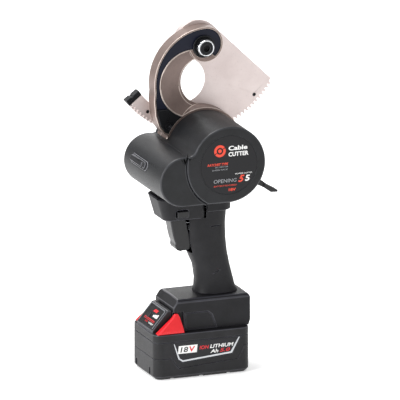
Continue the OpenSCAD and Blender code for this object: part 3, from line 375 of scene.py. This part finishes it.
# ---- Battery latches -------------------------------------------------------------
# The two latch buttons are red acetal, moulded with a polished tool, so they are the
# glossiest plastic. Each is a plain wedge with rounded edges, one on either side.

def polished_acetal(name, colour, deep, roughness):
    """Acetal from a polished mould: even colour, soft gloss, fine scuffs from fingers."""
    material, tree, place = blank(name)
    scuff = add(tree, "Mapping", {}, {"Vector": place, "Rotation": (0.3, 0.5, 0.2), "Scale": (1, 1, 0.15)})
    scuffs = add(tree, "TexNoise", {}, {"Vector": scuff.outputs[0], "Scale": 1000 / 1.6, "Detail": 3})
    cloud = add(tree, "TexNoise", {}, {"Vector": place, "Scale": 1000 / 9, "Detail": 2})
    mixed = add(tree, "Mix", {"data_type": "RGBA"},
                {0: cloud.outputs[0], 6: linear(colour), 7: linear(deep)})
    gloss = add(tree, "MapRange", {}, {"Value": scuffs.outputs[0], "From Min": 0.35, "From Max": 0.75,
                                       "To Min": roughness, "To Max": roughness + 0.16})
    relief = add(tree, "Bump", {}, {"Height": scuffs.outputs[0], "Strength": 0.15, "Distance": 0.03 * MM})
    body = add(tree, "BsdfPrincipled", {}, {"Base Color": mixed.outputs[2], "Roughness": gloss.outputs[0],
                                            "Normal": relief.outputs[0], "IOR": 1.48})
    add(tree, "OutputMaterial", {}, {"Surface": body.outputs[0]})
    return material


red_acetal = polished_acetal("red acetal", "#e01822", "#ce121b", 0.32)
# Brighter than the faces: a painted highlight on the latch's rounded edges.
red_acetal_highlight_edge = polished_acetal("red acetal, highlight-lightened edges", "#ee3038", "#e0242d", 0.28)
for side in ("left", "right"):
    rounded_part(f"latch_button_{side}", f"battery_latch_{side}", 1.1, red_acetal,
                 red_acetal_highlight_edge, 20)


# ---- Inside the battery ----------------------------------------------------------
# Ten steel cells in green sleeves sit in nylon holders under a circuit board. They
# show only through the joints of the case.

def circuit_board(name, colour, copper):
    """Green solder mask over copper tracks, with a low gloss."""
    material, tree, place = blank(name)
    tracks = add(tree, "TexBrick", {"offset": 0.35},
                 {"Vector": place, "Scale": 1000 / 9, "Color1": linear(colour),
                  "Color2": linear(colour), "Mortar": linear(copper), "Mortar Size": 0.012})
    body = add(tree, "BsdfPrincipled", {}, {"Base Color": tracks.outputs["Color"], "Roughness": 0.38})
    add(tree, "OutputMaterial", {}, {"Surface": body.outputs[0]})
    return material


solder_mask = circuit_board("green solder mask", "#1f5a33", "#3c8a4d")
cell_sleeve = polished_acetal("green shrink sleeve", "#2f6e57", "#265a48", 0.3)
bright_steel = turned_metal("zinc-plated steel", "#d3d6da", "#9da1a7", 0.28)
finish_nodes(cell_sleeve, "cell_pack")
finish_nodes(charcoal, "cell_holder", "trigger_switch", "contact_block")
finish_nodes(solder_mask, "battery_board", "controller_board")
finish_nodes(bright_steel, "battery_screws", "handle_screws", "trigger_spring", "lever_pin", "idler_pin")


# ---- Foot and grip ---------------------------------------------------------------
# The foot block slides over the battery's rails. It and the two grip shells are black
# nylon with a finer grain than the battery's, a little glossier where hands rub it; their
# rounded edges are also painted lighter, as a highlight.

black_nylon = moulded_nylon("black glass-filled nylon", "#131316", "#1b1b1e", 0.5, 0.9, 0.24)
# Paler than the faces: a painted highlight on the rounded edges, besides the gloss of handling.
black_nylon_highlight_edge = moulded_nylon("black nylon, highlight-painted edges", "#2a2a30", "#38383f", 0.38, 0.9, 0.45)
foot_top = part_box("foot_block")[1].z / MM
rounded_part("foot", "foot_block",
             lambda m: 1.5 if m.z > foot_top - 9 else 0.6, black_nylon, black_nylon_highlight_edge, 14)
for side in ("left", "right"):
    rounded_part(f"grip_{side}", f"handle_{side}_shell", 0.45, black_nylon,
                 black_nylon_highlight_edge, 34)
rounded_part("grip_ring", "grip_collar", lambda m: 0.8 if m.x > 16 else 0.15, black_nylon,
             black_nylon_highlight_edge)


# ---- Trigger, its shroud and lock ------------------------------------------------
# A boxy shroud under the barrel guards the trigger and carries the cross-bolt lock.
# The trigger is glossy black acetal, long enough for two gloved fingers.

black_acetal = polished_acetal("black acetal", "#111113", "#0c0c0e", 0.3)
# Paler than the faces: a painted highlight on the rounded edges of trigger, lock, lens and lever.
black_acetal_highlight_edge = polished_acetal("black acetal, edges with painted highlight", "#202024", "#18181b", 0.26)
rounded_part("shroud", "trigger_shroud", lambda m: 1.6 if m.x < 5 else 0.15, black_nylon,
             black_nylon_highlight_edge)
rounded_part("trigger_lever", "trigger", 1.4, black_acetal, black_acetal_highlight_edge)
rounded_part("lock_bolt", "lock_button", 0.9, black_acetal, black_acetal_highlight_edge)


# ---- Housing ---------------------------------------------------------------------
# The gear case is the round drum, and the motor cover wraps it along a curved seam.
# Both are satin charcoal nylon, with a generous rounding around the end faces; all
# rounded edges are painted lighter, as a highlight.

housing_nylon = moulded_nylon("charcoal housing nylon", "#141517", "#1c1d20", 0.46)
# Lighter than the faces: a painted highlight on the rounded rims and seams.
housing_highlight_edge = moulded_nylon("charcoal housing nylon, rims with painted highlight", "#232428", "#2e2f34", 0.38, 1.1, 0.45)
cover_low, cover_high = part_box("motor_cover")
near_end, far_end = cover_low.y / MM, cover_high.y / MM
label_low, label_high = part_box("end_label")
label_centre = (label_low + label_high) / (2 * MM)
label_radius = (label_high.x - label_low.x) / (2 * MM)


def in_label(m):
    """Whether a point lies within 3 mm of the end label, at any depth."""
    return math.hypot(m.x - label_centre.x, m.z - label_centre.z) < label_radius + 3


def rim_radius(m):
    """The end faces have a wide rounding; seams and cut-outs a small one."""
    on_end = m.y < near_end + 0.4 or m.y > far_end - 0.4
    return 1.9 if on_end and not in_label(m) else 0.22


rounded_part("gear_drum", "gear_case", rim_radius, housing_nylon, housing_highlight_edge)
rounded_part("barrel", "motor_cover", rim_radius, housing_nylon, housing_highlight_edge)
finish_nodes(black_acetal, "case_screws")


# ---- End label -------------------------------------------------------------------
# A round film label sits in the shallow recess on the near end. Its printing is an
# orange-red jaw mark, white and grey words, and the opening size in red and white.

orange_ink = screen_ink("orange-red screen ink", "#e8452c", "#c23a25")
label_film = printed_film("charcoal label film", "#131316", "#19191c")
rounded_part("label_disc", "end_label", 0.2, label_film, label_film)
label_face = (label_centre.x, label_low.y / MM, label_centre.z)
across, upward = (1, 0, 0), (0, 0, 1)
mark_across, mark_up = -11.6, 18


def arc(radius, start, end, steps=14):
    """Points round the jaw mark's middle, from one angle to another."""
    turn = [math.radians(start + (end - start) * k / steps) for k in range(steps + 1)]
    return [(mark_across + radius * math.cos(t), mark_up + radius * math.sin(t)) for t in turn]


jaws = [patch(*arc(7.4, lo, hi), *arc(4.2, hi, lo)) for lo, hi in ((35, 205), (215, 385))]
jaws.append(patch(*arc(2.4, 0, 345)))
printed("label_jaw_mark", jaws, label_face, across, upward, orange_ink, "frame", 0.1)
printed("label_white_words",
        [words("Cable", -0.6, 17.6, 5.6, 24, 0, 0.03), words("CUTTER", -0.6, 10.2, 5.4, 25.4, 0, 0.03),
         words("POWER CUTTER", 8, -12.6, 1.7, 21.5), words("5", 20.4, -21.8, 7.4, 6.2, 0.15, 0.03)],
        label_face, across, upward, white_ink, "frame", 0.1)
printed("label_grey_words",
        [words("DC MOTOR", -17.5, -2.6, 1.7, 16.5), words("LI-ION PACK", -21.5, -5.9, 1.7, 20),
         words("OPENING", -19.4, -21.4, 4.4, 29, 0.1, -0.004)],
        label_face, across, upward, grey_ink, "frame", 0.1)
printed("label_orange_words",
        [words("RATCHET TYPE", -27.4, 0.1, 3, 26.4, 0.25, 0.02),
         words("5", 11.6, -22.4, 8.6, 8.2, 0.35, 0.03),
         words("BATTERY POWERED", -19.4, -26, 1.7, 29, 0.2),
         words("18V", -0.4, -32.4, 3.5, 9, 0, 0.03)],
        label_face, across, upward, orange_ink, "frame", 0.1)


# ---- Work light ------------------------------------------------------------------
# A raised bar in a rounded recess on the barrel's front holds a small dark lens. The
# bar is glossy nylon, its rounded edges painted pale as a highlight, and the lens smoked
# polycarbonate.

def smoked_lens(name, colour):
    """Smoked polycarbonate: nearly black, with a clear glossy skin."""
    material, tree, place = blank(name)
    cloud = add(tree, "TexNoise", {}, {"Vector": place, "Scale": 1000 / 3, "Detail": 2})
    mixed = add(tree, "Mix", {"data_type": "RGBA"},
                {0: cloud.outputs[0], 6: linear(colour), 7: linear("#1b1b22")})
    body = add(tree, "BsdfPrincipled", {}, {"Base Color": mixed.outputs[2], "Roughness": 0.08, "IOR": 1.58,
                                            "Coat Weight": 0.6, "Coat Roughness": 0.05})
    add(tree, "OutputMaterial", {}, {"Surface": body.outputs[0]})
    return material


# Much paler than the bar: a painted highlight along its rounded edges.
bar_highlight_edge = moulded_nylon("light bar, edges painted pale as a highlight", "#5a5b60", "#6c6d72", 0.34, 0.9, 0.5)
bar = rounded_part("light_bar", "work_light", 0.7, black_nylon, bar_highlight_edge)
eye = rounded_part("light_lens", "work_light_lens", 0.4,
                   smoked_lens("smoked polycarbonate", "#08080a"), black_acetal_highlight_edge)
# The bar stands nearly twice as high off its recess as the plain shape does.
light_tilt = math.radians(18)
extra_height = 0.9
outward = Vector((-math.cos(light_tilt), 0, math.sin(light_tilt)))
bar_floor = min(v.co.dot(outward) for v in bar.data.vertices)
for piece in (bar, eye):
    for v in piece.data.vertices:
        v.co += outward * extra_height * (v.co.dot(outward) - bar_floor)


# ---- Hook ------------------------------------------------------------------------
# The fixed blade and its round base are one plate of tool steel, cut out, ground and
# bead-blasted, then plated a pale champagne. The bevel is ground on the near side.

def blasted_plate(name, pale, warm, dark, roughness):
    """Bead-blasted and plated tool steel: satin, with a fine pebble and warm cloudy tints.
    The real pebble is about 0.1 mm, drawn coarser so that it shows."""
    material, tree, place = blank(name)
    pebble = add(tree, "TexNoise", {},
                 {"Vector": place, "Scale": 1000 / 0.8, "Detail": 3, "Roughness": 0.75})
    cloud = add(tree, "TexNoise", {},
                {"Vector": place, "Scale": 1000 / 35, "Detail": 5, "Roughness": 0.6})
    speck = add(tree, "TexNoise", {}, {"Vector": place, "Scale": 1000 / 2.4, "Detail": 2})
    tint = add(tree, "MapRange", {}, {"Value": cloud.outputs[0], "From Min": 0.3, "From Max": 0.7})
    specks = add(tree, "MapRange", {}, {"Value": speck.outputs[0], "From Min": 0.62, "From Max": 0.8,
                                        "To Max": 0.35})
    base = add(tree, "Mix", {"data_type": "RGBA"}, {0: tint.outputs[0], 6: linear(pale), 7: linear(warm)})
    colour = add(tree, "Mix", {"data_type": "RGBA"},
                 {0: specks.outputs[0], 6: base.outputs[2], 7: linear(dark)})
    gloss = add(tree, "MapRange", {}, {"Value": pebble.outputs[0], "To Min": roughness - 0.1,
                                       "To Max": roughness + 0.12})
    relief = add(tree, "Bump", {}, {"Height": pebble.outputs[0], "Strength": 0.5, "Distance": 0.05 * MM})
    body = add(tree, "BsdfPrincipled", {}, {"Base Color": colour.outputs[2], "Roughness": gloss.outputs[0],
                                            "Normal": relief.outputs[0], "Metallic": 0.72})
    add(tree, "OutputMaterial", {}, {"Surface": body.outputs[0]})
    return material


def enamel(name, colour, pale, roughness):
    """Stoved enamel: deep colour under a gloss, with a slight orange peel."""
    material, tree, place = blank(name)
    peel = add(tree, "TexNoise", {}, {"Vector": place, "Scale": 1000 / 1.8, "Detail": 1})
    cloud = add(tree, "TexNoise", {}, {"Vector": place, "Scale": 1000 / 20, "Detail": 3})
    mixed = add(tree, "Mix", {"data_type": "RGBA"},
                {0: cloud.outputs[0], 6: linear(colour), 7: linear(pale)})
    relief = add(tree, "Bump", {}, {"Height": peel.outputs[0], "Strength": 0.2, "Distance": 0.08 * MM})
    gloss = add(tree, "MapRange", {},
                {"Value": peel.outputs[0], "To Min": roughness, "To Max": roughness + 0.12})
    body = add(tree, "BsdfPrincipled", {}, {"Base Color": mixed.outputs[2], "Roughness": gloss.outputs[0],
                                            "Normal": relief.outputs[0], "Specular IOR Level": 0.25})
    add(tree, "OutputMaterial", {}, {"Surface": body.outputs[0]})
    return material


champagne = blasted_plate("champagne-plated tool steel", "#8e7d77", "#7b6b65", "#5a4e49", 0.46)
# Far paler than the faces: a painted highlight along the rounded edges of the hook and spacer.
champagne_highlight_edge = blasted_plate("champagne plate, edges with bright painted highlight", "#ddd0c8", "#cdbdb3", "#a5948a", 0.34)
rounded_part("hook", "cutting_hook", 0.55, champagne, champagne_highlight_edge)
# The navy plate's rounded edges take a darker enamel: painted shade along its outline.
rounded_part("hook_paint", "hook_face_plate", 0.3,
             enamel("navy enamel", "#0b0e1c", "#11162a", 0.3),
             enamel("navy enamel edge, painted shade", "#08090f", "#0d0f18", 0.4))
black_oxide = turned_metal("black-oxide steel", "#232427", "#141517", 0.4, 1.0, 0.7)
# Paler than the faces: a painted highlight on the rounded edges of the black steel parts.
black_oxide_highlight_edge = turned_metal("black-oxide steel, edges with painted highlight", "#4b4c50", "#303134", 0.32, 1.0, 0.8)
rounded_part("root_block", "root_clamp", 0.4, black_oxide, black_oxide_highlight_edge)
rounded_part("root_cap_screw", "root_screw", 0.25, black_oxide, black_oxide_highlight_edge)


# ---- Moving blade ----------------------------------------------------------------
# The toothed blade is the same plated steel, a shade pinker, with a hollow-ground
# edge on its far side. A black stop is riveted to its tail, and a black disc sits
# deep in each of its two holes as painted shade, so that the holes read dark.

blade_steel = blasted_plate("rose-champagne blade steel", "#e4d8d5", "#d6c8c5", "#a69895", 0.42)
blade_edge = blasted_plate("blade steel, bright edges", "#e2d6d2", "#d2c4bf", "#ac9d98", 0.34)
rounded_part("blade", "moving_blade", 0.25, blade_steel, blade_edge)
rounded_part("blade_stop", "tail_stop", 0.4, black_oxide, black_oxide_highlight_edge)
bush_low, bush_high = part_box("pivot_bush")
axle = (bush_low + bush_high) / (2 * MM)
hole_circle, shade_disc_radius, shade_disc_depth = 102, 2.15, 1.4
shade_disc_outline = [(shade_disc_radius * math.cos(math.radians(a)), shade_disc_radius * math.sin(math.radians(a)))
               for a in range(0, 360, 15)]
# Each disc is black steel set 1.4 mm into a hole: painted shade inside the hole.
for label, angle in (("upper", -44.5), ("lower", -128.5)):
    turn = math.radians(angle)
    hole = (axle.x + hole_circle * math.cos(turn), bush_low.y / MM + shade_disc_depth,
            axle.z + hole_circle * math.sin(turn))
    printed(f"blade_hole_shade_disc_{label}", [patch(*shade_disc_outline)], hole, (1, 0, 0), (0, 0, 1),
            black_oxide, "blade", 0.9)
finish_nodes(turned_metal("bearing bronze", "#c79a5c", "#9c7440", 0.3), "pivot_bush", "planet_gears")


# ---- Pivot -----------------------------------------------------------------------
# A black bolt holds the blade. The hexagon nut on the near side is black too, with a
# raised collar round its bore in bright zinc, over a dark washer.

rounded_part("bolt", "pivot_bolt", 0.5, black_oxide, black_oxide_highlight_edge)
nut = rounded_part("ring_nut", "pivot_nut", 0.7, black_oxide,
                   turned_metal("zinc-plated steel, bright rim", "#f4f6f8", "#d4d7db", 0.2))
# The rounded edges take the finish of the faces beside them.
nut.modifiers["rounding"].material = -1
nut_low, nut_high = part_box("pivot_nut")
pivot = (nut_low + nut_high) / (2 * MM)
collar_radius = 10.2
for polygon in nut.data.polygons:
    middle = polygon.center / MM
    if math.hypot(middle.x - pivot.x, middle.z - pivot.z) < collar_radius:
        polygon.material_index = 1
rounded_part("washer", "pivot_washer", 0.3, black_oxide, black_oxide_highlight_edge)
rounded_part("spacer_plate", "pinion_spacer", 0.4, champagne, champagne_highlight_edge)
rounded_part("back_cover", "far_cover", 0.9, housing_nylon, housing_highlight_edge)
rounded_part("back_cover_screws", "cover_bolts", 0.4, black_oxide, black_oxide_highlight_edge)


# ---- Drive and lever -------------------------------------------------------------
# The gear train, ratchet and motor sit inside the housing: hardened steel gears, a
# pressed steel can and a wound rotor. Only the black release lever shows.

gear_steel = turned_metal("hardened gear steel", "#a9acb1", "#7b7e84", 0.3)
finish_nodes(gear_steel, "pinion_shaft", "shaft_bearings", "drum_gear", "ratchet_wheel", "holding_pawl",
             "idler_gear", "output_gear", "gearbox_housing", "motor_can", "motor_bearings")
finish_nodes(turned_metal("copper winding", "#b5683a", "#7c4526", 0.35, 0.5), "rotor")
finish_nodes(black_nylon, "cooling_fan")
rounded_part("lever", "release_lever", 0.7, black_acetal, black_acetal_highlight_edge)


# ---- Floor, lights and camera ----------------------------------------------------
# A pale studio sweep under large soft lights: one from the left, one above, a strip
# behind and a weak one in front, with the camera low on the trigger side.

def studio_paper(name):
    """Seamless white paper: matt, with a faint fibre."""
    material, tree, place = blank(name)
    fibre = add(tree, "TexNoise", {}, {"Vector": place, "Scale": 1000 / 4, "Detail": 3})
    colour = add(tree, "Mix", {"data_type": "RGBA"},
                 {0: fibre.outputs[0], 6: linear("#fbfbfb"), 7: linear("#f6f6f6")})
    body = add(tree, "BsdfPrincipled", {}, {"Base Color": colour.outputs[2], "Roughness": 0.9,
                                            "Emission Color": linear("#ffffff"), "Emission Strength": 0.4})
    add(tree, "OutputMaterial", {}, {"Surface": body.outputs[0]})
    return material


def soft_light(name, place, target, width, height, watts):
    """A rectangular soft box that faces its target. Places and sizes are in metres."""
    lamp = bpy.data.lights.new(name, "AREA")
    lamp.shape = "RECTANGLE"
    lamp.size = width
    lamp.size_y = height
    lamp.energy = watts
    holder = bpy.data.objects.new(name, lamp)
    bpy.context.scene.collection.objects.link(holder)
    holder.location = place
    holder.rotation_euler = (Vector(target) - Vector(place)).to_track_quat("-Z", "Y").to_euler()


floor_mesh = bpy.data.meshes.new("studio_floor")
sweep = bmesh.new()
bmesh.ops.create_grid(sweep, x_segments=8, y_segments=8, size=6)
sweep.to_mesh(floor_mesh)
sweep.free()
floor_mesh.materials.append(studio_paper("white studio paper"))
floor = bpy.data.objects.new("studio_floor", floor_mesh)
bpy.context.scene.collection.objects.link(floor)

bpy.context.scene.view_settings.view_transform = "Standard"
world = bpy.data.worlds.new("studio")
world.use_nodes = True
world.node_tree.nodes["Background"].inputs["Color"].default_value = linear("#ffffff")
world.node_tree.nodes["Background"].inputs["Strength"].default_value = 0.5
bpy.context.scene.world = world

middle = (0.02, 0.0, 0.22)
soft_light("left_soft_box", (-1.5, -0.5, 0.9), middle, 0.9, 1.2, 24)
soft_light("top_soft_box", (-0.3, 0.5, 1.6), middle, 0.8, 0.8, 22)
soft_light("back_strip", (0.5, 1.6, 0.62), middle, 1.4, 0.4, 7)
soft_light("front_fill", (0.6, -1.8, 0.8), middle, 1.2, 1.0, 2)

VIEW_WIDTH = 0.479
DISTANCE = 20.0
target = Vector((0.0290, 0.0462, 0.1942))
azimuth, elevation = math.radians(-21), math.radians(15.4)
back = Vector((math.sin(azimuth) * math.cos(elevation), -math.cos(azimuth) * math.cos(elevation),
               math.sin(elevation)))
lens = bpy.data.cameras.new("camera")
lens.sensor_width = 36
lens.lens = lens.sensor_width * DISTANCE / VIEW_WIDTH
camera = bpy.data.objects.new("camera", lens)
bpy.context.scene.collection.objects.link(camera)
camera.location = target + back * DISTANCE
camera.rotation_euler = back.to_track_quat("Z", "Y").to_euler()
bpy.context.scene.camera = camera
